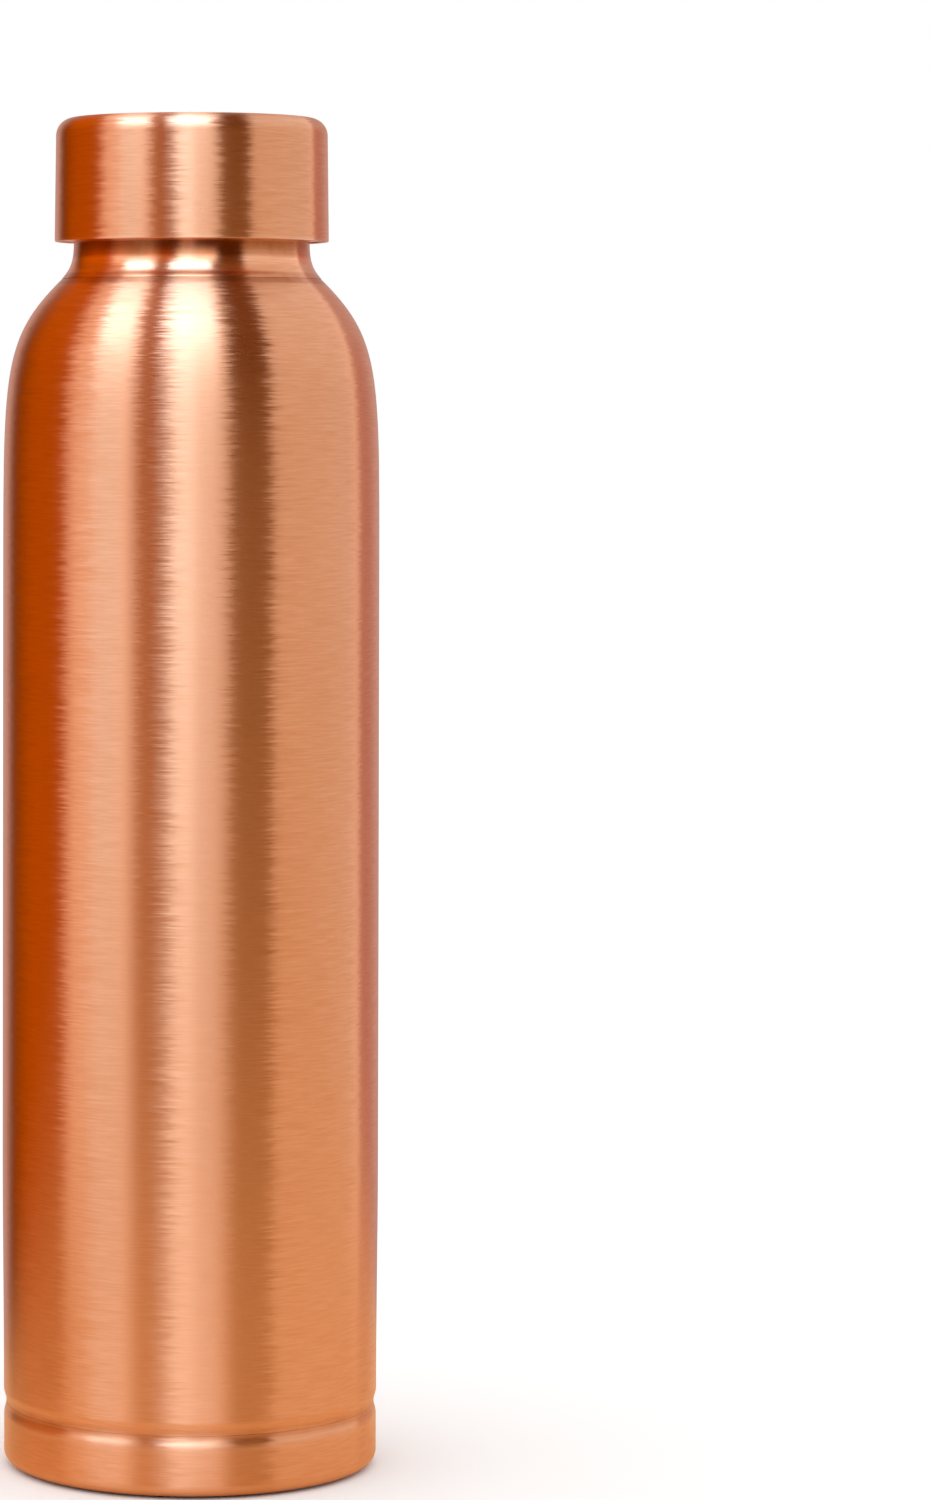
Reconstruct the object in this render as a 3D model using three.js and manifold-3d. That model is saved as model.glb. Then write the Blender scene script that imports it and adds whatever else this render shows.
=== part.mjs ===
// Copper water bottle with a screw cap, in millimetres, +Z up.
// The origin is the middle of the foot ring's plane, and every piece is turned about the Z axis.

import * as THREE from 'three';
import { mergeVertices } from 'three/addons/utils/BufferGeometryUtils.js';
import Module from 'manifold-3d';

// Body shell: one drawn copper sheet, open below at the groove and above at the neck.
const BODY_RADIUS = 37.5;
const BODY_SHEET = 0.5;
const SHOULDER_START_HEIGHT = 178.3;
const SHOULDER_LEAD = 39.6;
const CREASE_RADIUS = 25.9;
const CREASE_HEIGHT = 235.6;
const CREASE_PULL_OUT = 11.6;
const CREASE_PULL_DOWN = 11.5;
const CREASE_SLOPE = CREASE_PULL_DOWN / CREASE_PULL_OUT;
const SHELL_LIP_RADIUS = 24.9;

// Groove: the wall draws in slightly towards the shell's lower edge, which is rolled in over the
// base cup's spigot.
const DRAWN_IN_RADIUS = 37.2;
const DRAWN_IN_UNTIL = 62;
const GROOVE_RADIUS = 36.7;
const GROOVE_LIP_HEIGHT = 12.05;
const GROOVE_FLANK_START = 12.2;
const GROOVE_FLANK_END = 14.8;

// Base cup: a pressed dish with a foot ring, a recessed floor and a spigot up into the shell.
const BASE_RADIUS = 37.15;
const BASE_SHEET = 0.6;
const FOOT_CORNER = 2.5;
const FOOT_INNER_RADIUS = 31.4;
const RECESS_RADIUS = 28.6;
const RECESS_DEPTH = 3;
const BASE_BAND_TOP = 11.9;
const BASE_SHOULDER_START = 9.4;
const BASE_SHOULDER_PULL = 1.1;
const SPIGOT_GAP = 0.08;
const SPIGOT_RADIUS = GROOVE_RADIUS - BODY_SHEET - SPIGOT_GAP;
const SPIGOT_TOP = 20;

// Filler rings of the two brazed joints.
const FILLER_GAP = 0.07;
const BASE_FILLER_RADIUS = SPIGOT_RADIUS + FILLER_GAP;
const BASE_FILLER_OUTER = DRAWN_IN_RADIUS - BODY_SHEET - FILLER_GAP;
const BASE_FILLER_BOTTOM = 15.6;
const BASE_FILLER_SLOPE_TOP = 16.4;
const BASE_FILLER_TOP = 19.2;
const NECK_FILLER_RADIUS = 24.9;
const NECK_FILLER_OUTER = 26.4;
const NECK_FILLER_TOP = 235.4;
const NECK_FILLER_TOE = 233.7;
const NECK_FILLER_BOTTOM = 232.8;

// Neck collar: flare on the crease, spigot down into the shell, threaded neck and mouth rim.
const COLLAR_FLARE_RADIUS = 25.85;
const COLLAR_SEAT_GAP = 0.06;
const COLLAR_SPIGOT_RADIUS = 24.84;
const COLLAR_SPIGOT_SHEET = 0.7;
const COLLAR_SPIGOT_BOTTOM = 231;
const COLLAR_SPIGOT_INNER_TOP = 234.2;
const NECK_RADIUS = 23.5;
const NECK_FLARE_TOP = 242.6;
const FLARE_FOOT_PULL_IN = 0.9;
const FLARE_FOOT_PULL_UP = 1.3;
const FLARE_TOP_PULL_DOWN = 3.2;
const BORE_RADIUS = 22.5;
const BORE_BOTTOM = 239.5;
const THROAT_PULL = 2.4;
const MOUTH_HEIGHT = 264.05;
const MOUTH_ROUND = 0.45;

// Screw thread: right-hand, one start, the same lead on the neck and in the cap.
const THREAD_LEAD = 4;
const NECK_THREAD_CREST = 24.3;
const NECK_THREAD_BOTTOM = 252;
const NECK_THREAD_TURNS = 2;
const CAP_THREAD_CREST = 23.8;
const CAP_THREAD_BELOW_NECK_THREAD = 1.55;
const CAP_THREAD_TURNS = 1.5;
const THREAD_ROOT_HALF_WIDTH = 0.9;
const THREAD_CREST_HALF_WIDTH = 0.4;
const THREAD_BURY = 0.3;
const THREAD_RUN_OUT_STEPS = 6;

// Cap shell: the outer cup of the cap.
const CAP_BOTTOM_HEIGHT = 243.1;
const CAP_BOTTOM_RADIUS = 27.3;
const CAP_TOP_RADIUS = 27.05;
const CAP_EDGE_ROUND = 3.5;
const CAP_TOP_HEIGHT = 267.7;
const CAP_CROWN = 0.5;
const CAP_SHEET = 0.6;

// Cap liner: the inner cup, with the thread and the flange that closes the cap's underside.
const LINER_BORE_RADIUS = 24.7;
const LINER_OUTER_RADIUS = 25.4;
const LINER_FLANGE_RADIUS = 26.55;
const LINER_FLANGE_BOTTOM = 243.4;
const LINER_FLANGE_TOP = 244.1;
const LINER_CEILING = 266.3;
const LINER_TOP = 266.95;
const LINER_CORNER = 1.5;
const LINER_LEAD_IN = 0.5;
const LINER_INNER_CHAMFER = 1.3;

// Gasket: a flat silicone ring between the liner's ceiling and the mouth rim.
const GASKET_INNER_RADIUS = 19.3;
const GASKET_OUTER_RADIUS = 23.3;
const GASKET_BOTTOM = 264.12;
const GASKET_TOP = 266.2;
const GASKET_CHAMFER = 0.25;

// Fineness of the model.
const SEGMENTS = 64;
const SHOULDER_STEPS = 14;
const FLARE_STEPS = 5;
const FLANK_STEPS = 4;
const ROUND_STEPS = 3;
const CAP_EDGE_STEPS = 5;
const MERGE_DISTANCE = 1e-4;

const wasm = await Module();
wasm.setup();

const MATERIALS = {
  copper: new THREE.MeshStandardMaterial({ color: 0xc9743f, metalness: 1, roughness: 0.35 }),
  filler: new THREE.MeshStandardMaterial({ color: 0xb9a06a, metalness: 1, roughness: 0.4 }),
  silicone: new THREE.MeshStandardMaterial({ color: 0xe9e6df, metalness: 0, roughness: 0.6 }),
};

// Points of a circular arc, as [radius from the axis, height], with angles in degrees.
function arc(centreRadius, centreHeight, round, fromDegrees, toDegrees, steps) {
  const points = [];
  for (let step = 0; step <= steps; step += 1) {
    const angle = THREE.MathUtils.degToRad(fromDegrees + ((toDegrees - fromDegrees) * step) / steps);
    points.push([centreRadius + round * Math.cos(angle), centreHeight + round * Math.sin(angle)]);
  }
  return points;
}

// Points of a cubic curve through its two ends, pulled towards the two control points between them.
function curve(start, startPull, endPull, end, steps) {
  const corners = [start, startPull, endPull, end];
  const bezier = new THREE.CubicBezierCurve(...corners.map((corner) => new THREE.Vector2(...corner)));
  return bezier.getPoints(steps).map((point) => [point.x, point.y]);
}

// The outline moved to its left by a distance, for the inner face of a bent sheet.
function inset(outline, distance) {
  return outline.map(([radius, height], at) => {
    const before = outline[Math.max(at - 1, 0)];
    const after = outline[Math.min(at + 1, outline.length - 1)];
    const along = new THREE.Vector2(after[0] - before[0], after[1] - before[1]).normalize();
    return [radius - along.y * distance, height + along.x * distance];
  });
}

// A solid turned about Z. The outline runs up the outside and down the inside, and either
// starts and ends on the axis or is closed here.
function turned(outline) {
  const points = outline.map(([radius, height]) => new THREE.Vector2(radius, height));
  const onAxis = points[0].x === 0 && points[points.length - 1].x === 0;
  if (!onAxis) {
    points.push(points[0].clone());
  }
  return new THREE.LatheGeometry(points, SEGMENTS).rotateX(Math.PI / 2);
}

function toManifold(geometry) {
  const bare = geometry.clone();
  bare.deleteAttribute('normal');
  bare.deleteAttribute('uv');
  const merged = mergeVertices(bare, MERGE_DISTANCE);
  const corners = merged.index.array;
  const kept = [];
  for (let at = 0; at < corners.length; at += 3) {
    const [a, b, c] = corners.slice(at, at + 3);
    if (a !== b && b !== c && c !== a) {
      kept.push(a, b, c);
    }
  }
  const vertProperties = Float32Array.from(merged.attributes.position.array);
  return new wasm.Manifold(new wasm.Mesh({ numProp: 3, vertProperties, triVerts: Uint32Array.from(kept) }));
}

function toGeometry(manifold) {
  const mesh = manifold.getMesh();
  const geometry = new THREE.BufferGeometry();
  geometry.setAttribute('position', new THREE.BufferAttribute(mesh.vertProperties, 3));
  geometry.setIndex(new THREE.BufferAttribute(mesh.triVerts, 1));
  geometry.computeVertexNormals();
  return geometry;
}

// A helical ridge standing on a cylindrical wall, outwards if its crest is larger than the wall
// and inwards if it is smaller. Both ends run out into the wall.
function threadRidge(wallRadius, crestRadius, bottomHeight, turns) {
  const steps = Math.round(turns * SEGMENTS);
  const outward = Math.sign(crestRadius - wallRadius);
  const footRadius = wallRadius - outward * THREAD_BURY;
  const hiddenCrest = wallRadius - (outward * THREAD_BURY) / 2;
  const positions = [];
  for (let step = 0; step <= steps; step += 1) {
    const angle = (step / SEGMENTS) * 2 * Math.PI;
    const height = bottomHeight + (THREAD_LEAD * step) / SEGMENTS;
    const grown = Math.min(1, Math.min(step, steps - step) / THREAD_RUN_OUT_STEPS);
    const crest = THREE.MathUtils.lerp(hiddenCrest, crestRadius, grown);
    const sides = [[footRadius, THREAD_ROOT_HALF_WIDTH], [crest, THREAD_CREST_HALF_WIDTH]];
    sides.sort((one, other) => one[0] - other[0]);
    const [[inner, innerHalf], [outer, outerHalf]] = sides;
    const section = [[inner, -innerHalf], [outer, -outerHalf], [outer, outerHalf], [inner, innerHalf]];
    for (const [radius, rise] of section) {
      positions.push(radius * Math.cos(angle), radius * Math.sin(angle), height + rise);
    }
  }
  const corners = [0, 1, 2, 0, 2, 3];
  for (let step = 0; step < steps; step += 1) {
    for (let side = 0; side < 4; side += 1) {
      const here = 4 * step + side;
      const next = 4 * step + ((side + 1) % 4);
      corners.push(here, here + 4, next + 4, here, next + 4, next);
    }
  }
  const last = 4 * steps;
  corners.push(last, last + 2, last + 1, last, last + 3, last + 2);
  const geometry = new THREE.BufferGeometry();
  geometry.setAttribute('position', new THREE.Float32BufferAttribute(positions, 3));
  geometry.setIndex(corners);
  return geometry;
}

function withThread(geometry, ridge) {
  return toGeometry(toManifold(geometry).add(toManifold(ridge)));
}

// Height of the shell's outer face at a radius inside the crease, where the shoulder runs straight on.
function lipHeight(radius) {
  return CREASE_HEIGHT + CREASE_SLOPE * (CREASE_RADIUS - radius);
}

function bodyShell() {
  const outer = [[GROOVE_RADIUS, GROOVE_LIP_HEIGHT], [GROOVE_RADIUS, GROOVE_FLANK_START]];
  for (let step = 1; step <= FLANK_STEPS; step += 1) {
    const share = step / FLANK_STEPS;
    const radius = GROOVE_RADIUS + ((DRAWN_IN_RADIUS - GROOVE_RADIUS) * (1 - Math.cos(Math.PI * share))) / 2;
    outer.push([radius, THREE.MathUtils.lerp(GROOVE_FLANK_START, GROOVE_FLANK_END, share)]);
  }
  const drawnInThird = (DRAWN_IN_UNTIL - GROOVE_FLANK_END) / 3;
  const drawnIn = curve(
    [DRAWN_IN_RADIUS, GROOVE_FLANK_END],
    [DRAWN_IN_RADIUS, GROOVE_FLANK_END + drawnInThird],
    [BODY_RADIUS, DRAWN_IN_UNTIL - drawnInThird],
    [BODY_RADIUS, DRAWN_IN_UNTIL],
    FLANK_STEPS,
  );
  outer.push(...drawnIn.slice(1));
  outer.push(...curve(
    [BODY_RADIUS, SHOULDER_START_HEIGHT],
    [BODY_RADIUS, SHOULDER_START_HEIGHT + SHOULDER_LEAD],
    [CREASE_RADIUS + CREASE_PULL_OUT, CREASE_HEIGHT - CREASE_PULL_DOWN],
    [CREASE_RADIUS, CREASE_HEIGHT],
    SHOULDER_STEPS,
  ));
  const lipThickness = BODY_SHEET * Math.hypot(1, CREASE_SLOPE);
  const lip = lipHeight(SHELL_LIP_RADIUS);
  return turned([
    ...outer,
    [SHELL_LIP_RADIUS, lip],
    [SHELL_LIP_RADIUS, lip - lipThickness],
    ...inset(outer, BODY_SHEET).reverse(),
  ]);
}

function baseCup() {
  const footCentre = BASE_RADIUS - FOOT_CORNER;
  const innerRadius = BASE_RADIUS - BASE_SHEET;
  const recessShift = BASE_SHEET / 2;
  const shoulder = curve(
    [BASE_RADIUS, BASE_SHOULDER_START],
    [BASE_RADIUS, BASE_SHOULDER_START + BASE_SHOULDER_PULL],
    [GROOVE_RADIUS, BASE_BAND_TOP - BASE_SHOULDER_PULL],
    [GROOVE_RADIUS, BASE_BAND_TOP],
    FLANK_STEPS,
  );
  return turned([
    [0, RECESS_DEPTH],
    [RECESS_RADIUS, RECESS_DEPTH],
    [FOOT_INNER_RADIUS, 0],
    ...arc(footCentre, FOOT_CORNER, FOOT_CORNER, -90, 0, ROUND_STEPS + 1),
    ...shoulder,
    [SPIGOT_RADIUS, BASE_BAND_TOP],
    [SPIGOT_RADIUS, SPIGOT_TOP],
    [SPIGOT_RADIUS - BASE_SHEET, SPIGOT_TOP],
    [SPIGOT_RADIUS - BASE_SHEET, BASE_BAND_TOP - BASE_SHEET],
    [GROOVE_RADIUS - BASE_SHEET, BASE_BAND_TOP - BASE_SHEET],
    [innerRadius, BASE_SHOULDER_START],
    ...arc(footCentre, FOOT_CORNER, FOOT_CORNER - BASE_SHEET, 0, -90, ROUND_STEPS),
    [FOOT_INNER_RADIUS + recessShift, BASE_SHEET],
    [RECESS_RADIUS + recessShift, RECESS_DEPTH + BASE_SHEET],
    [0, RECESS_DEPTH + BASE_SHEET],
  ]);
}

function baseBrazeRing() {
  return turned([
    [BASE_FILLER_RADIUS, BASE_FILLER_BOTTOM],
    [BASE_FILLER_OUTER, BASE_FILLER_SLOPE_TOP],
    [BASE_FILLER_OUTER, BASE_FILLER_TOP],
    [BASE_FILLER_RADIUS, BASE_FILLER_TOP],
  ]);
}

function neckBrazeRing() {
  return turned([
    [NECK_FILLER_RADIUS, NECK_FILLER_BOTTOM],
    [NECK_FILLER_OUTER, NECK_FILLER_TOE],
    [NECK_FILLER_RADIUS, NECK_FILLER_TOP],
  ]);
}

function neckCollar() {
  const flareFoot = lipHeight(COLLAR_FLARE_RADIUS) + COLLAR_SEAT_GAP;
  const seatTop = lipHeight(COLLAR_SPIGOT_RADIUS) + COLLAR_SEAT_GAP;
  const spigotInner = COLLAR_SPIGOT_RADIUS - COLLAR_SPIGOT_SHEET;
  const flare = curve(
    [COLLAR_FLARE_RADIUS, flareFoot],
    [COLLAR_FLARE_RADIUS - FLARE_FOOT_PULL_IN, flareFoot + FLARE_FOOT_PULL_UP],
    [NECK_RADIUS, NECK_FLARE_TOP - FLARE_TOP_PULL_DOWN],
    [NECK_RADIUS, NECK_FLARE_TOP],
    FLARE_STEPS,
  );
  const throat = curve(
    [BORE_RADIUS, BORE_BOTTOM],
    [BORE_RADIUS, BORE_BOTTOM - THROAT_PULL],
    [spigotInner, COLLAR_SPIGOT_INNER_TOP + THROAT_PULL],
    [spigotInner, COLLAR_SPIGOT_INNER_TOP],
    FLARE_STEPS,
  );
  const rimHeight = MOUTH_HEIGHT - MOUTH_ROUND;
  const wall = turned([
    [spigotInner, COLLAR_SPIGOT_BOTTOM],
    [COLLAR_SPIGOT_RADIUS, COLLAR_SPIGOT_BOTTOM],
    [COLLAR_SPIGOT_RADIUS, seatTop],
    ...flare,
    ...arc(NECK_RADIUS - MOUTH_ROUND, rimHeight, MOUTH_ROUND, 0, 90, ROUND_STEPS),
    ...arc(BORE_RADIUS + MOUTH_ROUND, rimHeight, MOUTH_ROUND, 90, 180, ROUND_STEPS),
    ...throat,
  ]);
  return withThread(wall, threadRidge(NECK_RADIUS, NECK_THREAD_CREST, NECK_THREAD_BOTTOM, NECK_THREAD_TURNS));
}

function capShell() {
  const edgeCentre = CAP_TOP_RADIUS - CAP_EDGE_ROUND;
  const edgeHeight = CAP_TOP_HEIGHT - CAP_EDGE_ROUND;
  const rimRound = CAP_SHEET / 2;
  const rimCentre = CAP_BOTTOM_RADIUS - rimRound;
  const crown = [0, edgeCentre / 2].map((radius) => [
    radius,
    CAP_TOP_HEIGHT + CAP_CROWN * (1 - (radius / edgeCentre) ** 2),
  ]);
  return turned([
    ...crown.map(([radius, height]) => [radius, height - CAP_SHEET]),
    ...arc(edgeCentre, edgeHeight, CAP_EDGE_ROUND - CAP_SHEET, 90, 0, CAP_EDGE_STEPS),
    ...arc(rimCentre, CAP_BOTTOM_HEIGHT + rimRound, rimRound, 180, 360, ROUND_STEPS),
    ...arc(edgeCentre, edgeHeight, CAP_EDGE_ROUND, 0, 90, CAP_EDGE_STEPS),
    ...crown.reverse(),
  ]);
}

function capLiner() {
  const cup = turned([
    [0, LINER_CEILING],
    [LINER_BORE_RADIUS - LINER_INNER_CHAMFER, LINER_CEILING],
    [LINER_BORE_RADIUS, LINER_CEILING - LINER_INNER_CHAMFER],
    [LINER_BORE_RADIUS, LINER_FLANGE_BOTTOM + LINER_LEAD_IN],
    [LINER_BORE_RADIUS + LINER_LEAD_IN, LINER_FLANGE_BOTTOM],
    [LINER_FLANGE_RADIUS, LINER_FLANGE_BOTTOM],
    [LINER_FLANGE_RADIUS, LINER_FLANGE_TOP],
    [LINER_OUTER_RADIUS, LINER_FLANGE_TOP],
    ...arc(LINER_OUTER_RADIUS - LINER_CORNER, LINER_TOP - LINER_CORNER, LINER_CORNER, 0, 90, ROUND_STEPS),
    [0, LINER_TOP],
  ]);
  const threadBottom = NECK_THREAD_BOTTOM - CAP_THREAD_BELOW_NECK_THREAD;
  return withThread(cup, threadRidge(LINER_BORE_RADIUS, CAP_THREAD_CREST, threadBottom, CAP_THREAD_TURNS));
}

function capGasket() {
  return turned([
    [GASKET_INNER_RADIUS, GASKET_BOTTOM],
    [GASKET_OUTER_RADIUS, GASKET_BOTTOM],
    [GASKET_OUTER_RADIUS, GASKET_TOP - GASKET_CHAMFER],
    [GASKET_OUTER_RADIUS - GASKET_CHAMFER, GASKET_TOP],
    [GASKET_INNER_RADIUS, GASKET_TOP],
  ]);
}

const PIECES = [
  ['body_shell', bodyShell, 'copper'],
  ['base_cup', baseCup, 'copper'],
  ['base_braze_ring', baseBrazeRing, 'filler'],
  ['neck_collar', neckCollar, 'copper'],
  ['neck_braze_ring', neckBrazeRing, 'filler'],
  ['cap_shell', capShell, 'copper'],
  ['cap_liner', capLiner, 'copper'],
  ['cap_gasket', capGasket, 'silicone'],
];

const group = new THREE.Group();
group.name = 'copper_water_bottle';
for (const [name, build, material] of PIECES) {
  const mesh = new THREE.Mesh(build(), MATERIALS[material]);
  mesh.name = name;
  group.add(mesh);
}

export default group;
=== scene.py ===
import math

import bpy
from mathutils import Matrix, Vector


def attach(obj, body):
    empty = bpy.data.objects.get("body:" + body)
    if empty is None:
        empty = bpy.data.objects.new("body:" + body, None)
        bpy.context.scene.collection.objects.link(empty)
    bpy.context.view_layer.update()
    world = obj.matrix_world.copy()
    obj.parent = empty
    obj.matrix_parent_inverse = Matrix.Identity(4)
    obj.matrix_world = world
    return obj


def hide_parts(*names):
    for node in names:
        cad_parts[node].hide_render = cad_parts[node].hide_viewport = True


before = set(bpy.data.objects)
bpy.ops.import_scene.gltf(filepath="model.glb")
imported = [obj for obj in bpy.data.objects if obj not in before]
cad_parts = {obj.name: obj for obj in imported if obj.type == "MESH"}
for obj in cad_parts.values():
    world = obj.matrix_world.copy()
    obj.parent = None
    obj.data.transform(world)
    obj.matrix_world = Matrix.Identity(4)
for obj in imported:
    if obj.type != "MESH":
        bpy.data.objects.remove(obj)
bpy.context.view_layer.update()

MM = 0.001
SEGMENTS = 256
SHARP_ANGLE = math.radians(32)

# Body shell, mm
BODY_RADIUS = 37.5
BODY_SHEET = 0.5
SHOULDER_START = 178.3
SHOULDER_LEAD = 39.6
CREASE_RADIUS = 25.9
CREASE_HEIGHT = 235.6
CREASE_PULL_OUT = 11.6
CREASE_PULL_DOWN = 11.5
CREASE_SLOPE = CREASE_PULL_DOWN / CREASE_PULL_OUT
SHELL_LIP_RADIUS = 24.9

# Groove and base cup, mm
DRAWN_IN_RADIUS = 37.2
DRAWN_IN_UNTIL = 62
GROOVE_RADIUS = 36.7
GROOVE_LIP_HEIGHT = 12.02
GROOVE_FLANK_START = 12.2
GROOVE_FLANK_END = 14.8
GROOVE_FLANK_STEPS = 14
BASE_RADIUS = 37.15
BASE_SHEET = 0.6
BASE_BAND_TOP = 11.98
BASE_SHOULDER_START = 9.4
BASE_SHOULDER_PULL = 1.1
FOOT_CORNER = 2.5
FOOT_INNER_RADIUS = 31.4
RECESS_RADIUS = 28.6
RECESS_DEPTH = 3
RECESS_ROWS = (9, 18, 24)
SPIGOT_RADIUS = 36.12
SPIGOT_TOP = 20
FILLER_GAP = 0.07
BASE_FILLER_INNER_BOTTOM = 15.6
BASE_FILLER_OUTER_BOTTOM = 16.4
BASE_FILLER_INNER_TOP = 19.3
BASE_FILLER_OUTER_TOP = 19.6
BASE_FILLER_HOLLOW = 19.0

# Neck collar, mm
COLLAR_FLARE_RADIUS = 25.85
COLLAR_SEAT_GAP = 0.06
COLLAR_SPIGOT_RADIUS = 24.84
COLLAR_SPIGOT_SHEET = 0.7
COLLAR_SPIGOT_BOTTOM = 231
COLLAR_SPIGOT_INNER_TOP = 234.2
NECK_RADIUS = 23.5
NECK_FLARE_TOP = 242.6
FLARE_FOOT_PULL_IN = 0.9
FLARE_FOOT_PULL_UP = 1.3
FLARE_TOP_PULL_DOWN = 4.6
NECK_FILLER_BOTTOM = 232.8
NECK_FILLER_HOLLOW = 233.7
NECK_FILLER_WIDTH = 1.5
NECK_FILLER_TOP = 235.4
BORE_RADIUS = 22.5
BORE_BOTTOM = 239.5
BORE_TAPER_PULL = 2.4
MOUTH_HEIGHT = 264.05
MOUTH_ROUND = 0.45

# Screw thread, mm and turns
THREAD_LEAD = 4
NECK_THREAD_CREST = 24.3
NECK_THREAD_BOTTOM = 252
NECK_THREAD_TURNS = 2
CAP_THREAD_CREST = 23.8
CAP_THREAD_BOTTOM = 250.45
CAP_THREAD_TURNS = 1.5
THREAD_ROOT_HALF_WIDTH = 0.9
THREAD_CREST_HALF_WIDTH = 0.4
THREAD_RUN_OUT = 0.09
THREAD_ROW = 0.12

# Cap, mm
CAP_BOTTOM_HEIGHT = 243.1
CAP_BOTTOM_RADIUS = 27.3
CAP_TOP_RADIUS = 27.05
CAP_EDGE_ROUND = 3.5
CAP_TOP_HEIGHT = 267.7
CAP_CROWN = 0.5
CAP_CROWN_STEPS = 8
CAP_SHEET = 0.6
LINER_BORE_RADIUS = 24.7
LINER_OUTER_RADIUS = 25.4
LINER_FLANGE_RADIUS = 26.55
LINER_FLANGE_BOTTOM = 243.4
LINER_FLANGE_TOP = 244.1
LINER_CEILING = 266.3
LINER_TOP = 266.95
LINER_CORNER = 1.5
LINER_LEAD_IN = 0.5
LINER_INNER_CHAMFER = 1.3
GASKET_INNER_RADIUS = 19.3
GASKET_OUTER_RADIUS = 23.3
GASKET_BOTTOM = 264.12
GASKET_TOP = 266.2
GASKET_CHAMFER = 0.2
GASKET_ROUND = 0.3
GASKET_BEADS = (20, 22)
GASKET_BEAD_HALF_WIDTH = 0.3
GASKET_BEAD_ROUND = 0.28

# Camera: metres, degrees and mm of lens
CAMERA_DISTANCE = 0.997
CAMERA_HEIGHT = 0.2145
CAMERA_LENS = 120.02
CAMERA_PITCH = 1.0
CAMERA_ROLL = 0.088
CAMERA_SHIFT_RIGHT = 0.1824
CAMERA_SHIFT_DOWN = 0.1847


# ---------------------------------------------------------------- outlines

def arc(centre_radius, centre_height, round_radius, start, end, steps):
    """Points of a circular arc between two angles in degrees."""
    points = []
    for step in range(steps + 1):
        angle = math.radians(start + (end - start) * step / steps)
        points.append((centre_radius + round_radius * math.cos(angle),
                       centre_height + round_radius * math.sin(angle)))
    return points


def curve(start, start_pull, end_pull, end, steps):
    """Points of a cubic curve between two ends, pulled towards two control points."""
    points = []
    for step in range(steps + 1):
        t = step / steps
        weights = ((1 - t) ** 3, 3 * (1 - t) ** 2 * t, 3 * (1 - t) * t ** 2, t ** 3)
        corners = (start, start_pull, end_pull, end)
        points.append(tuple(sum(w * c[axis] for w, c in zip(weights, corners)) for axis in (0, 1)))
    return points


def inset(outline, distance):
    """The outline moved to its left by a distance, for the inner face of a bent sheet."""
    moved = []
    for at, (radius, height) in enumerate(outline):
        before = outline[max(at - 1, 0)]
        after = outline[min(at + 1, len(outline) - 1)]
        along = Vector((after[0] - before[0], after[1] - before[1])).normalized()
        moved.append((radius - along.y * distance, height + along.x * distance))
    return moved


def rows(radius, bottom, top, step):
    """Evenly spaced points up a straight wall, both ends included."""
    count = max(1, round(abs(top - bottom) / step))
    return [(radius, bottom + (top - bottom) * row / count) for row in range(count + 1)]


# ---------------------------------------------------------------- meshes

def turned(name, outline, reshape=None):
    """A mesh turned about Z. The outline runs up the outside and down the inside, and either
    starts and ends on the axis or closes on itself. reshape may change a point's radius."""
    vertices = []
    rings = []
    for radius, height in outline:
        if radius == 0:
            rings.append([len(vertices)] * SEGMENTS)
            vertices.append((0, 0, height * MM))
            continue
        ring = []
        for segment in range(SEGMENTS):
            angle = 2 * math.pi * segment / SEGMENTS
            shaped = reshape(angle, radius, height) if reshape else radius
            ring.append(len(vertices))
            vertices.append((shaped * MM * math.cos(angle), shaped * MM * math.sin(angle), height * MM))
        rings.append(ring)
    on_axis = outline[0][0] == 0 and outline[-1][0] == 0
    pairs = list(zip(rings, rings[1:]))
    if not on_axis:
        pairs.append((rings[-1], rings[0]))
    faces = []
    for lower, upper in pairs:
        for segment in range(SEGMENTS):
            following = (segment + 1) % SEGMENTS
            corners = [lower[segment], lower[following], upper[following], upper[segment]]
            faces.append(list(dict.fromkeys(corners)))
    mesh = bpy.data.meshes.new(name)
    mesh.from_pydata(vertices, [], faces)
    mesh.shade_smooth()
    mesh.set_sharp_from_angle(angle=SHARP_ANGLE)
    piece = bpy.data.objects.new(name, mesh)
    bpy.context.scene.collection.objects.link(piece)
    return piece


def threaded(wall_radius, crest_radius, bottom_height, turns):
    """A reshape for turned(): a right-hand helical ridge on the wall at wall_radius, whose ends
    run out into the wall."""
    height_change = crest_radius - wall_radius
    flank = THREAD_ROOT_HALF_WIDTH - THREAD_CREST_HALF_WIDTH

    def reshape(angle, radius, height):
        if abs(radius - wall_radius) > 1e-6:
            return radius
        rise = 0
        for turn in range(math.ceil(turns)):
            along = turn + angle / (2 * math.pi)
            if along > turns:
                continue
            away = abs(height - bottom_height - THREAD_LEAD * along)
            share = min(1, max(0, (THREAD_ROOT_HALF_WIDTH - away) / flank))
            run_out = min(1, along / THREAD_RUN_OUT, (turns - along) / THREAD_RUN_OUT)
            rounded = share * share * (3 - 2 * share)
            rise = max(rise, rounded * run_out)
        return radius + height_change * rise

    return reshape


def lip_height(radius):
    """Height of the shell's outer face at a radius inside the crease."""
    return CREASE_HEIGHT + CREASE_SLOPE * (CREASE_RADIUS - radius)


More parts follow.
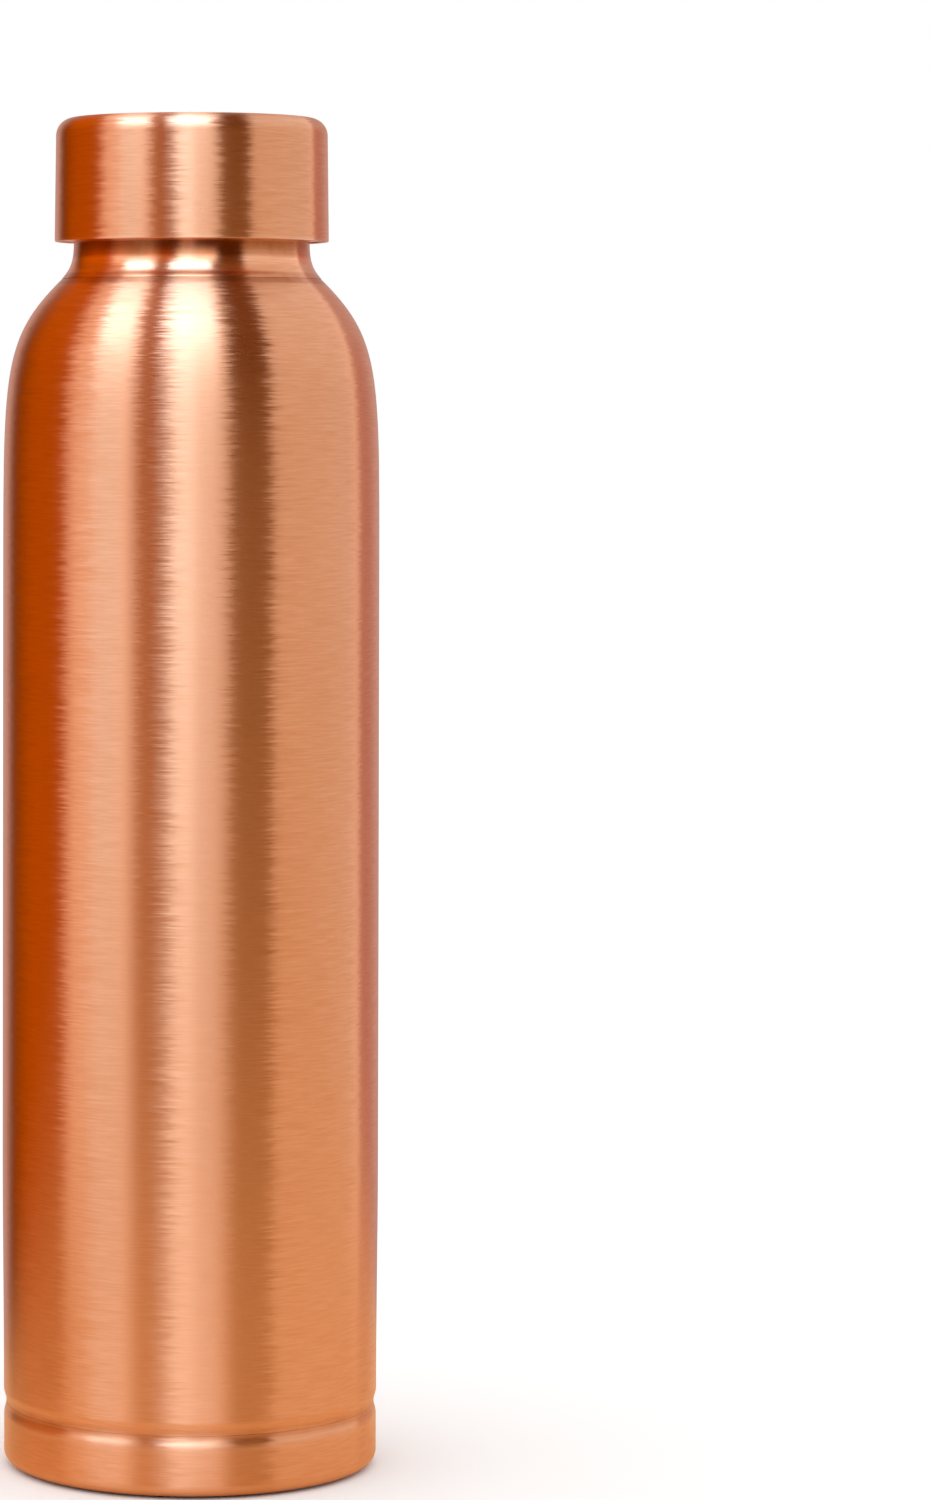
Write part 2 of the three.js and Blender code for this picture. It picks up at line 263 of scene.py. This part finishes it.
def shell_outer():
    outer = rows(GROOVE_RADIUS, GROOVE_LIP_HEIGHT, GROOVE_FLANK_START, 0.4)
    for step in range(1, GROOVE_FLANK_STEPS + 1):
        share = step / GROOVE_FLANK_STEPS
        radius = GROOVE_RADIUS + (DRAWN_IN_RADIUS - GROOVE_RADIUS) * (1 - math.cos(math.pi * share)) / 2
        outer.append((radius, GROOVE_FLANK_START + (GROOVE_FLANK_END - GROOVE_FLANK_START) * share))
    third = (DRAWN_IN_UNTIL - GROOVE_FLANK_END) / 3
    outer += curve((DRAWN_IN_RADIUS, GROOVE_FLANK_END), (DRAWN_IN_RADIUS, GROOVE_FLANK_END + third),
                   (BODY_RADIUS, DRAWN_IN_UNTIL - third), (BODY_RADIUS, DRAWN_IN_UNTIL), 16)[1:]
    outer += rows(BODY_RADIUS, DRAWN_IN_UNTIL, SHOULDER_START, 20)[1:-1]
    outer += curve((BODY_RADIUS, SHOULDER_START),
                   (BODY_RADIUS, SHOULDER_START + SHOULDER_LEAD),
                   (CREASE_RADIUS + CREASE_PULL_OUT, CREASE_HEIGHT - CREASE_PULL_DOWN),
                   (CREASE_RADIUS, CREASE_HEIGHT), 72)
    return outer


def make_shell():
    outer = shell_outer()
    lip = lip_height(SHELL_LIP_RADIUS)
    lip_thickness = BODY_SHEET * math.hypot(1, CREASE_SLOPE)
    outline = [*outer, (SHELL_LIP_RADIUS, lip), (SHELL_LIP_RADIUS, lip - lip_thickness)]
    outline += reversed(inset(outer, BODY_SHEET))
    return turned("shell", outline)


def make_base():
    foot_centre = BASE_RADIUS - FOOT_CORNER
    slope_out = FOOT_INNER_RADIUS - RECESS_RADIUS
    shift = BASE_SHEET / 2
    under = [(0, RECESS_DEPTH)] + [(radius, RECESS_DEPTH) for radius in RECESS_ROWS]
    under += curve((RECESS_RADIUS - 1.2, RECESS_DEPTH), (RECESS_RADIUS + slope_out * 0.35, RECESS_DEPTH),
                   (FOOT_INNER_RADIUS - slope_out * 0.45, 0), (FOOT_INNER_RADIUS + 0.4, 0), 12)
    above = [(radius + shift, height + BASE_SHEET) for radius, height in reversed(under[1:])]
    outline = [
        *under,
        *arc(foot_centre, FOOT_CORNER, FOOT_CORNER, -90, 0, 12),
        *curve((BASE_RADIUS, BASE_SHOULDER_START), (BASE_RADIUS, BASE_SHOULDER_START + BASE_SHOULDER_PULL),
               (GROOVE_RADIUS, BASE_BAND_TOP - BASE_SHOULDER_PULL), (GROOVE_RADIUS, BASE_BAND_TOP), 14),
        (SPIGOT_RADIUS, BASE_BAND_TOP),
        (SPIGOT_RADIUS, SPIGOT_TOP),
        (SPIGOT_RADIUS - BASE_SHEET, SPIGOT_TOP),
        (SPIGOT_RADIUS - BASE_SHEET, BASE_BAND_TOP - BASE_SHEET),
        (GROOVE_RADIUS - BASE_SHEET, BASE_BAND_TOP - BASE_SHEET),
        (BASE_RADIUS - BASE_SHEET, BASE_SHOULDER_START),
        *arc(foot_centre, FOOT_CORNER, FOOT_CORNER - BASE_SHEET, 0, -90, 8),
        *above,
        (0, RECESS_DEPTH + BASE_SHEET),
    ]
    return turned("base", outline)


def make_base_filler():
    inner = SPIGOT_RADIUS + FILLER_GAP
    outer = DRAWN_IN_RADIUS - BODY_SHEET - FILLER_GAP
    hollow = curve((outer, BASE_FILLER_OUTER_TOP), (outer - 0.1, BASE_FILLER_HOLLOW + 0.1),
                   (inner + 0.15, BASE_FILLER_HOLLOW), (inner, BASE_FILLER_INNER_TOP), 8)
    bottom = [(inner, BASE_FILLER_INNER_BOTTOM), (outer, BASE_FILLER_OUTER_BOTTOM)]
    return turned("base_filler", bottom + hollow)


def make_neck_filler():
    inner = SHELL_LIP_RADIUS
    hollow = curve((inner, NECK_FILLER_BOTTOM), (inner + 0.25, NECK_FILLER_HOLLOW - 0.2),
                   (inner + 0.8, NECK_FILLER_HOLLOW + 0.05),
                   (inner + NECK_FILLER_WIDTH, NECK_FILLER_HOLLOW), 8)
    return turned("neck_filler", [*hollow, (inner, NECK_FILLER_TOP)])


def make_collar():
    flare_foot = lip_height(COLLAR_FLARE_RADIUS) + COLLAR_SEAT_GAP
    seat_top = lip_height(COLLAR_SPIGOT_RADIUS) + COLLAR_SEAT_GAP
    spigot_inner = COLLAR_SPIGOT_RADIUS - COLLAR_SPIGOT_SHEET
    rim = MOUTH_HEIGHT - MOUTH_ROUND
    outline = [
        (spigot_inner, COLLAR_SPIGOT_BOTTOM),
        (COLLAR_SPIGOT_RADIUS, COLLAR_SPIGOT_BOTTOM),
        (COLLAR_SPIGOT_RADIUS, seat_top),
        *curve((COLLAR_FLARE_RADIUS, flare_foot),
               (COLLAR_FLARE_RADIUS - FLARE_FOOT_PULL_IN, flare_foot + FLARE_FOOT_PULL_UP),
               (NECK_RADIUS, NECK_FLARE_TOP - FLARE_TOP_PULL_DOWN),
               (NECK_RADIUS, NECK_FLARE_TOP), 28),
        *rows(NECK_RADIUS, NECK_FLARE_TOP + 1, rim - 1, THREAD_ROW),
        *arc(NECK_RADIUS - MOUTH_ROUND, rim, MOUTH_ROUND, 0, 90, 6),
        *arc(BORE_RADIUS + MOUTH_ROUND, rim, MOUTH_ROUND, 90, 180, 6),
        *curve((BORE_RADIUS, BORE_BOTTOM), (BORE_RADIUS, BORE_BOTTOM - BORE_TAPER_PULL),
               (spigot_inner, COLLAR_SPIGOT_INNER_TOP + BORE_TAPER_PULL),
               (spigot_inner, COLLAR_SPIGOT_INNER_TOP), 14),
    ]
    thread = threaded(NECK_RADIUS, NECK_THREAD_CREST, NECK_THREAD_BOTTOM, NECK_THREAD_TURNS)
    return turned("collar", outline, thread)


def make_cap_cup():
    edge_centre = CAP_TOP_RADIUS - CAP_EDGE_ROUND
    edge_height = CAP_TOP_HEIGHT - CAP_EDGE_ROUND
    rim_round = CAP_SHEET / 2
    crown = []
    for step in range(CAP_CROWN_STEPS):
        radius = edge_centre * step / CAP_CROWN_STEPS
        crown.append((radius, CAP_TOP_HEIGHT + CAP_CROWN * (1 - (radius / edge_centre) ** 2)))
    outline = [
        *[(radius, height - CAP_SHEET) for radius, height in crown],
        *arc(edge_centre, edge_height, CAP_EDGE_ROUND - CAP_SHEET, 90, 0, 12),
        *arc(CAP_BOTTOM_RADIUS - rim_round, CAP_BOTTOM_HEIGHT + rim_round, rim_round, 180, 360, 12),
        *arc(edge_centre, edge_height, CAP_EDGE_ROUND, 0, 90, 20),
        *reversed(crown),
    ]
    return turned("cap_cup", outline)


def make_liner():
    outline = [
        (0, LINER_CEILING),
        (LINER_BORE_RADIUS - LINER_INNER_CHAMFER, LINER_CEILING),
        *rows(LINER_BORE_RADIUS, LINER_CEILING - LINER_INNER_CHAMFER, LINER_FLANGE_BOTTOM + 1, THREAD_ROW),
        *arc(LINER_BORE_RADIUS + LINER_LEAD_IN, LINER_FLANGE_BOTTOM + LINER_LEAD_IN, LINER_LEAD_IN,
             180, 270, 6),
        (LINER_FLANGE_RADIUS, LINER_FLANGE_BOTTOM),
        (LINER_FLANGE_RADIUS, LINER_FLANGE_TOP),
        (LINER_OUTER_RADIUS, LINER_FLANGE_TOP),
        *arc(LINER_OUTER_RADIUS - LINER_CORNER, LINER_TOP - LINER_CORNER, LINER_CORNER, 0, 90, 8),
        (0, LINER_TOP),
    ]
    thread = threaded(LINER_BORE_RADIUS, CAP_THREAD_CREST, CAP_THREAD_BOTTOM, CAP_THREAD_TURNS)
    return turned("liner", outline, thread)


def make_gasket():
    bottom = [(GASKET_INNER_RADIUS + GASKET_CHAMFER, GASKET_BOTTOM)]
    for bead in GASKET_BEADS:
        bottom.append((bead - GASKET_BEAD_HALF_WIDTH, GASKET_BOTTOM))
        bottom += arc(bead, GASKET_BOTTOM + 0.02, GASKET_BEAD_ROUND, 180, 0, 8)
        bottom.append((bead + GASKET_BEAD_HALF_WIDTH, GASKET_BOTTOM))
    rounded_radius = GASKET_OUTER_RADIUS - GASKET_ROUND
    outline = [
        *bottom,
        *arc(rounded_radius, GASKET_BOTTOM + GASKET_ROUND, GASKET_ROUND, -90, 0, 5),
        *arc(rounded_radius, GASKET_TOP - GASKET_ROUND, GASKET_ROUND, 0, 90, 5),
        (GASKET_INNER_RADIUS + GASKET_CHAMFER, GASKET_TOP),
        (GASKET_INNER_RADIUS, GASKET_TOP - GASKET_CHAMFER),
        (GASKET_INNER_RADIUS, GASKET_BOTTOM + GASKET_CHAMFER),
    ]
    return turned("gasket", outline)


# ---------------------------------------------------------------- materials

class Shader:
    """A material's node tree with short calls for the nodes used here."""

    def __init__(self, name):
        self.material = bpy.data.materials.new(name)
        self.material.use_nodes = True
        self.tree = self.material.node_tree
        self.surface = self.tree.nodes["Principled BSDF"]
        self.coordinates = self.add("ShaderNodeTexCoord").outputs["Object"]

    def add(self, kind, **settings):
        node = self.tree.nodes.new(kind)
        for key, value in settings.items():
            setattr(node, key, value)
        return node

    def feed(self, socket, value):
        if isinstance(value, bpy.types.NodeSocket):
            self.tree.links.new(value, socket)
        else:
            socket.default_value = value

    def noise(self, stretch, detail=2.0, roughness=0.5, offset=0.0):
        """Noise from 0 to 1 with stretch = how many features per metre along X, Y and Z."""
        mapping = self.add("ShaderNodeMapping")
        mapping.inputs["Scale"].default_value = stretch
        mapping.inputs["Location"].default_value = (offset, offset, offset)
        self.feed(mapping.inputs["Vector"], self.coordinates)
        noise = self.add("ShaderNodeTexNoise")
        noise.inputs["Scale"].default_value = 1.0
        noise.inputs["Detail"].default_value = detail
        noise.inputs["Roughness"].default_value = roughness
        self.feed(noise.inputs["Vector"], mapping.outputs["Vector"])
        return noise.outputs["Fac"]

    def math(self, operation, first, second=0.0, third=0.0):
        node = self.add("ShaderNodeMath", operation=operation)
        for socket, value in zip(node.inputs, (first, second, third)):
            self.feed(socket, value)
        return node.outputs["Value"]

    def span(self, value, low, high, to_low, to_high):
        """The value mapped from one range to another, held at the ends."""
        node = self.add("ShaderNodeMapRange")
        for name, given in (("Value", value), ("From Min", low), ("From Max", high),
                            ("To Min", to_low), ("To Max", to_high)):
            self.feed(node.inputs[name], given)
        return node.outputs["Result"]

    def mix(self, share, first, second):
        """Two colours mixed by a share from 0 to 1."""
        node = self.add("ShaderNodeMix", data_type="RGBA")
        self.feed(node.inputs[0], share)
        self.feed(node.inputs[6], first)
        self.feed(node.inputs[7], second)
        return node.outputs[2]

    def vector(self, operation, first, second=None, scale=None):
        node = self.add("ShaderNodeVectorMath", operation=operation)
        self.feed(node.inputs[0], first)
        if second is not None:
            self.feed(node.inputs[1], second)
        if scale is not None:
            self.feed(node.inputs["Scale"], scale)
        return node.outputs["Vector"]


COPPER_LIGHT = (0.91, 0.487, 0.298, 1)
COPPER_DEEP = (0.83, 0.408, 0.227, 1)
# Painted shade: a dark copper tone laid where shade falls, in the crease, in the groove and under the cap.
PAINTED_SHADE = (0.42, 0.12, 0.035, 1)
# Lighter copper: painted highlights on the cap's lower rim and the base's shoulder, and wear on the cap's
# top edge and the foot.
WEAR_AND_PAINTED_HIGHLIGHT = (0.95, 0.6, 0.42, 1)
BORE_METALLIC = 0.35
BORE_FADE = 0.3

# Rings round the copper, mm: painted shade in the crease, in the groove and under the cap, painted
# highlights on the cap's lower rim and the base's shoulder, and worn bright copper on the cap's top
# edge and the foot. Height of the middle, half width, softness, share at full strength, colour.
RINGS = (
    # Painted shade on the neck under the cap's overhang.
    (241.5, 1.2, 0.8, 0.88, PAINTED_SHADE),
    # Painted shade in the crease between neck and shoulder.
    (235.7, 0.9, 0.4, 0.62, PAINTED_SHADE),
    # Painted shade in the groove above the base.
    (12.0, 0.7, 0.8, 0.3, PAINTED_SHADE),
    # Worn bright copper on the cap's top edge.
    (266.3, 0.5, 1.0, 0.45, WEAR_AND_PAINTED_HIGHLIGHT),
    # Painted highlight on the cap's lower rim.
    (243.3, 0.25, 0.3, 0.6, WEAR_AND_PAINTED_HIGHLIGHT),
    # Painted highlight on the base's shoulder below the groove.
    (9.8, 0.5, 0.9, 0.35, WEAR_AND_PAINTED_HIGHLIGHT),
    # Worn bright copper on the foot.
    (1.0, 0.5, 1.0, 0.5, WEAR_AND_PAINTED_HIGHLIGHT),
)


def brushed_copper(name, roughness=0.31, anisotropy=1.0, streak_tilt=0.075, matt_bore=None):
    """Copper brushed round its axis, which blurs reflections up and down far more than sideways.
    Streaks tilt the surface a little, and streaks and clouds vary its tone. Inside the radius
    matt_bore, in mm, it is unpolished and scatters light."""
    shader = Shader(name)
    surface = shader.surface
    streaks = shader.noise((170, 170, 3200), detail=3, roughness=0.6)
    fine_rings = shader.noise((25, 25, 9000), detail=2, roughness=0.7, offset=3.7)
    clouds = shader.noise((28, 28, 14), detail=3, roughness=0.5, offset=8.1)
    tone = shader.math("ADD", shader.math("MULTIPLY", streaks, 0.75), shader.math("MULTIPLY", clouds, 0.25))
    tone = shader.span(tone, 0.38, 0.62, 0.0, 1.0)
    colour = shader.mix(tone, COPPER_DEEP, COPPER_LIGHT)
    place = shader.add("ShaderNodeSeparateXYZ")
    shader.feed(place.inputs[0], shader.coordinates)
    patches = shader.span(shader.noise((140, 140, 90), detail=3, offset=5.3), 0.38, 0.62, 0.55, 1.0)
    # Painted shade and painted highlights, with wear on two edges, laid on in rings and broken up in
    # patches.
    for middle, half_width, softness, share, tint in RINGS:
        away = shader.math("ABSOLUTE", shader.math("SUBTRACT", place.outputs["Z"], middle * MM))
        ring = shader.span(away, half_width * MM, (half_width + softness) * MM, share, 0.0)
        colour = shader.mix(shader.math("MULTIPLY", ring, patches), colour, tint)
    shader.feed(surface.inputs["Base Color"], colour)
    shader.feed(surface.inputs["Roughness"],
                shader.span(fine_rings, 0.25, 0.75, roughness - 0.03, roughness + 0.03))
    surface.inputs["Metallic"].default_value = 1.0
    if matt_bore:
        squares = [shader.math("POWER", place.outputs[axis], 2.0) for axis in ("X", "Y")]
        radius = shader.math("SQRT", shader.math("ADD", *squares))
        shader.feed(surface.inputs["Metallic"],
                    shader.span(radius, matt_bore * MM, (matt_bore + BORE_FADE) * MM, BORE_METALLIC, 1.0))
    surface.inputs["Anisotropic"].default_value = anisotropy
    surface.inputs["Anisotropic Rotation"].default_value = 0.25
    tangent = shader.add("ShaderNodeTangent", direction_type="RADIAL", axis="Z").outputs["Tangent"]
    shader.feed(surface.inputs["Tangent"], tangent)
    bump = shader.add("ShaderNodeBump")
    bump.inputs["Strength"].default_value = 0.25
    bump.inputs["Distance"].default_value = 0.00001
    shader.feed(bump.inputs["Height"], fine_rings)
    tilt = shader.math("MULTIPLY", shader.math("SUBTRACT", streaks, 0.5), streak_tilt * 2)
    tilted = shader.vector("ADD", bump.outputs["Normal"], shader.vector("SCALE", tangent, scale=tilt))
    shader.feed(surface.inputs["Normal"], shader.vector("NORMALIZE", tilted))
    return shader.material


def braze():
    shader = Shader("braze")
    grain = shader.noise((900, 900, 900), detail=4, roughness=0.6)
    shader.feed(shader.surface.inputs["Base Color"],
                shader.mix(grain, (0.60, 0.44, 0.22, 1), (0.72, 0.58, 0.34, 1)))
    shader.feed(shader.surface.inputs["Roughness"], shader.span(grain, 0.3, 0.7, 0.35, 0.55))
    shader.surface.inputs["Metallic"].default_value = 1.0
    bump = shader.add("ShaderNodeBump")
    bump.inputs["Strength"].default_value = 0.5
    bump.inputs["Distance"].default_value = 0.0001
    shader.feed(bump.inputs["Height"], grain)
    shader.feed(shader.surface.inputs["Normal"], bump.outputs["Normal"])
    return shader.material


def silicone():
    shader = Shader("silicone")
    mottle = shader.noise((220, 220, 220), detail=3)
    shader.feed(shader.surface.inputs["Base Color"],
                shader.mix(mottle, (0.78, 0.77, 0.73, 1), (0.86, 0.85, 0.82, 1)))
    shader.feed(shader.surface.inputs["Roughness"], shader.span(mottle, 0.3, 0.7, 0.45, 0.6))
    shader.surface.inputs["Subsurface Weight"].default_value = 0.15
    shader.surface.inputs["Subsurface Radius"].default_value = (0.002, 0.002, 0.002)
    return shader.material


# ---------------------------------------------------------------- the bottle

def put(piece, material, node, body):
    piece.data.materials.append(material)
    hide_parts(node)
    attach(piece, body)


def build_bottle():
    body_copper = brushed_copper("body_copper")
    plain_copper = brushed_copper("plain_copper", roughness=0.17, anisotropy=0.5, streak_tilt=0.03,
                                  matt_bore=BORE_RADIUS + 0.1)
    filler = braze()
    put(make_shell(), body_copper, "body_shell", "bottle")
    put(make_base(), body_copper, "base_cup", "bottle")
    put(make_base_filler(), filler, "base_braze_ring", "bottle")
    put(make_collar(), plain_copper, "neck_collar", "bottle")
    put(make_neck_filler(), filler, "neck_braze_ring", "bottle")
    put(make_cap_cup(), body_copper, "cap_shell", "cap")
    put(make_liner(), plain_copper, "cap_liner", "cap")
    put(make_gasket(), silicone(), "cap_gasket", "seal")


# ---------------------------------------------------------------- studio

FLOOR_RADIUS = 12.0
TABLE_RADIUS = 0.32
TABLE_MIDDLE = (0.11, -0.16)
FLOOR_TONE = (0.88, 0.88, 0.88, 1)
# Painted shade and painted bounce light from the copper: the floor's colour in reflections.
FLOOR_SHADE_AND_BOUNCE_IN_COPPER = (0.79, 0.51, 0.26, 1)
FLOOR_LIGHT = 1.25

# What the copper reflects. Each panel is a band of directions that a brushed upright wall turns
# towards the front: bearing of its middle (0 at the front, 90 at the right), half width and
# softness of its edges in degrees, then its colour at the horizon, off the horizon and overhead.
SURROUNDINGS = (0.12, 0.035, 0.0)
BRIGHT = (3.2, 4.6, 6.3)
DARK = (0.0, 0.0, 0.0)
PANELS = (
    ("left box", -58, 23, 16, (0.3, 0.25, 0.2), (0.78, 0.98, 1.0), (0.3, 0.3, 0.3)),
    ("left box overhead", -50.5, 13.5, 12, DARK, DARK, BRIGHT),
    ("left skirt", -95, 35, 42, (0.14, 0.02, 0.0), (0.56, 0.125, 0.0), (0.42, 0.09, 0.0)),
    ("left gap", -32, 15, 12, DARK, (0.46, 0.12, 0.0), (0.2, 0.1, 0.05)),
    ("key", -4.5, 6.5, 8, (0.5, 0.4, 0.35), (0.2, 0.75, 1.2), DARK),
    ("key spill", 4.3, 18.8, 8, DARK, (1.5, 1.5, 1.5), DARK),
    ("key overhead", -1.5, 18.5, 8, DARK, DARK, BRIGHT),
    ("right gap", 38, 16, 12, DARK, DARK, (0.12, 0.05, 0.02)),
    ("right card", 87.5, 37, 8, (0.4, 0.3, 0.18), (0.88, 0.9, 0.93), (0.72, 0.68, 0.64)),
    ("far right", 142, 20, 18, (0.3, 0.2, 0.2), (0.5, 0.27, 0.26), (0.5, 0.5, 0.5)),
)

# A plain backdrop takes the panels' place behind the bottle, where their directions crowd together.
# It is full within BACKDROP_FULL of the direction straight back, gone at BACKDROP_GONE (both are
# lengths between unit vectors), and full again above the height BACKDROP_HEIGHT, in degrees.
BACKDROP = (0.6, 0.4, 0.36, 1)
BACKDROP_FULL = 0.4
BACKDROP_GONE = 0.75
BACKDROP_HEIGHT = 135

# Heights in degrees where a panel's colour passes from the horizon's to the one off the horizon,
# and from there to the overhead one, which ends again further up.
HORIZON_FROM = 5
HORIZON_GONE = 20
OVERHEAD_FROM = 22
OVERHEAD_FULL = 60
OVERHEAD_ENDS = 50
OVERHEAD_GONE = 98


def disc(name, radius, height, middle=(0, 0)):
    corners = 96
    vertices = []
    for at in range(corners):
        angle = 2 * math.pi * at / corners
        vertices.append((middle[0] + radius * math.cos(angle), middle[1] + radius * math.sin(angle), height))
    mesh = bpy.data.meshes.new(name)
    mesh.from_pydata(vertices, [], [list(range(corners))])
    made = bpy.data.objects.new(name, mesh)
    bpy.context.scene.collection.objects.link(made)
    return made


def make_floor():
    """A pale floor. Only the part near the bottle shows in the copper, and there it is a little darker and
    copper-tinted: painted shade and painted bounce light.
    """
    shader = Shader("floor")
    rays = shader.add("ShaderNodeLightPath")
    # Reflected rays see the painted shade and bounce colour. All other rays see the pale floor.
    tone = shader.mix(rays.outputs["Is Glossy Ray"], FLOOR_TONE, FLOOR_SHADE_AND_BOUNCE_IN_COPPER)
    shader.feed(shader.surface.inputs["Base Color"], tone)
    shader.surface.inputs["Roughness"].default_value = 0.9
    shader.surface.inputs["Specular IOR Level"].default_value = 0.0
    # The near disc shows only in reflections, so it carries the painted shade. The far one takes the
    # camera's view and the shadows.
    near = disc("table_near", TABLE_RADIUS, -0.0001, TABLE_MIDDLE)
    far = disc("floor_far", FLOOR_RADIUS, -0.0004)
    near.visible_camera = False
    near.visible_diffuse = False
    near.visible_shadow = False
    far.visible_glossy = False
    for made in (near, far):
        made.data.materials.append(shader.material)


class Surroundings(Shader):
    """The world's node tree. A direction's bearing and height, in degrees, are twice those of the
    surface normal that would turn it to the front, so a brushed wall keeps the panels' edges upright."""

    def __init__(self, world):
        self.tree = world.node_tree
        direction = self.add("ShaderNodeTexCoord").outputs["Generated"]
        from_back = self.vector("ADD", direction, (0, -1, 0))
        distance = self.add("ShaderNodeVectorMath", operation="LENGTH")
        self.feed(distance.inputs[0], from_back)
        normal = self.vector("NORMALIZE", from_back)
        parts = self.add("ShaderNodeSeparateXYZ")
        self.feed(parts.inputs[0], normal)
        x, y, z = parts.outputs
        bearing = self.math("ARCTAN2", x, self.math("MULTIPLY", y, -1.0))
        self.bearing = self.math("DEGREES", self.math("MULTIPLY", bearing, 2.0))
        height = self.math("DEGREES", self.math("MULTIPLY", self.math("ARCSINE", z), 2.0))
        near_back = self.step(distance.outputs["Value"], BACKDROP_GONE, BACKDROP_FULL)
        past_overhead = self.step(height, OVERHEAD_GONE, BACKDROP_HEIGHT)
        self.behind = self.math("MAXIMUM", near_back, past_overhead)
        self.off = self.step(self.math("ABSOLUTE", height), HORIZON_FROM, HORIZON_GONE)
        rise = self.step(height, OVERHEAD_FROM, OVERHEAD_FULL)
        self.up = self.math("MULTIPLY", rise, self.step(height, OVERHEAD_GONE, OVERHEAD_ENDS))

    def step(self, value, none_at, full_at):
        """0 where the value is none_at, 1 where it is full_at, with a soft rise between."""
        node = self.add("ShaderNodeMapRange", interpolation_type="SMOOTHSTEP")
        for name, given in (("Value", value), ("From Min", none_at), ("From Max", full_at)):
            self.feed(node.inputs[name], given)
        return node.outputs["Result"]

    def panel(self, middle, half_width, softness, level, off, above):
        """Light from one panel: its colour by height, faded out past its sides."""
        turn = self.math("WRAP", self.math("SUBTRACT", self.bearing, middle), 180.0, -180.0)
        away = self.math("ABSOLUTE", turn)
        inside = self.step(away, half_width + softness / 2, half_width - softness / 2)
        colour = self.mix(self.off, (*level, 1), (*off, 1))
        colour = self.mix(self.up, colour, (*above, 1))
        return self.vector("SCALE", colour, scale=inside)


def make_world():
    """White to the camera and on the floor. Reflections see a dim warm room with softboxes."""
    world = bpy.data.worlds.new("studio")
    bpy.context.scene.world = world
    world.use_nodes = True
    world.cycles.sampling_method = "NONE"
    room = Surroundings(world)
    seen = SURROUNDINGS
    for _, *panel in PANELS:
        seen = room.vector("ADD", room.panel(*panel), seen)
    seen = room.mix(room.behind, seen, BACKDROP)
    rays = room.add("ShaderNodeLightPath")
    white = room.mix(rays.outputs["Is Camera Ray"], (FLOOR_LIGHT, FLOOR_LIGHT, FLOOR_LIGHT, 1), (1, 1, 1, 1))
    colour = room.mix(rays.outputs["Is Glossy Ray"], white, seen)
    room.feed(room.tree.nodes["Background"].inputs["Color"], colour)


def make_camera():
    camera = bpy.data.objects.new("camera", bpy.data.cameras.new("camera"))
    camera.data.lens = CAMERA_LENS
    camera.data.sensor_width = 36
    camera.data.shift_x = CAMERA_SHIFT_RIGHT
    camera.data.shift_y = -CAMERA_SHIFT_DOWN
    camera.data.clip_start = 0.01
    camera.data.clip_end = 100
    place = Matrix.Translation((0, -CAMERA_DISTANCE, CAMERA_HEIGHT))
    pitch = Matrix.Rotation(math.radians(90 - CAMERA_PITCH), 4, "X")
    roll = Matrix.Rotation(math.radians(CAMERA_ROLL), 4, "Z")
    camera.matrix_world = place @ pitch @ roll
    bpy.context.scene.collection.objects.link(camera)
    bpy.context.scene.camera = camera


make_camera()
build_bottle()
make_floor()
make_world()
bpy.context.scene.view_settings.view_transform = "Standard"
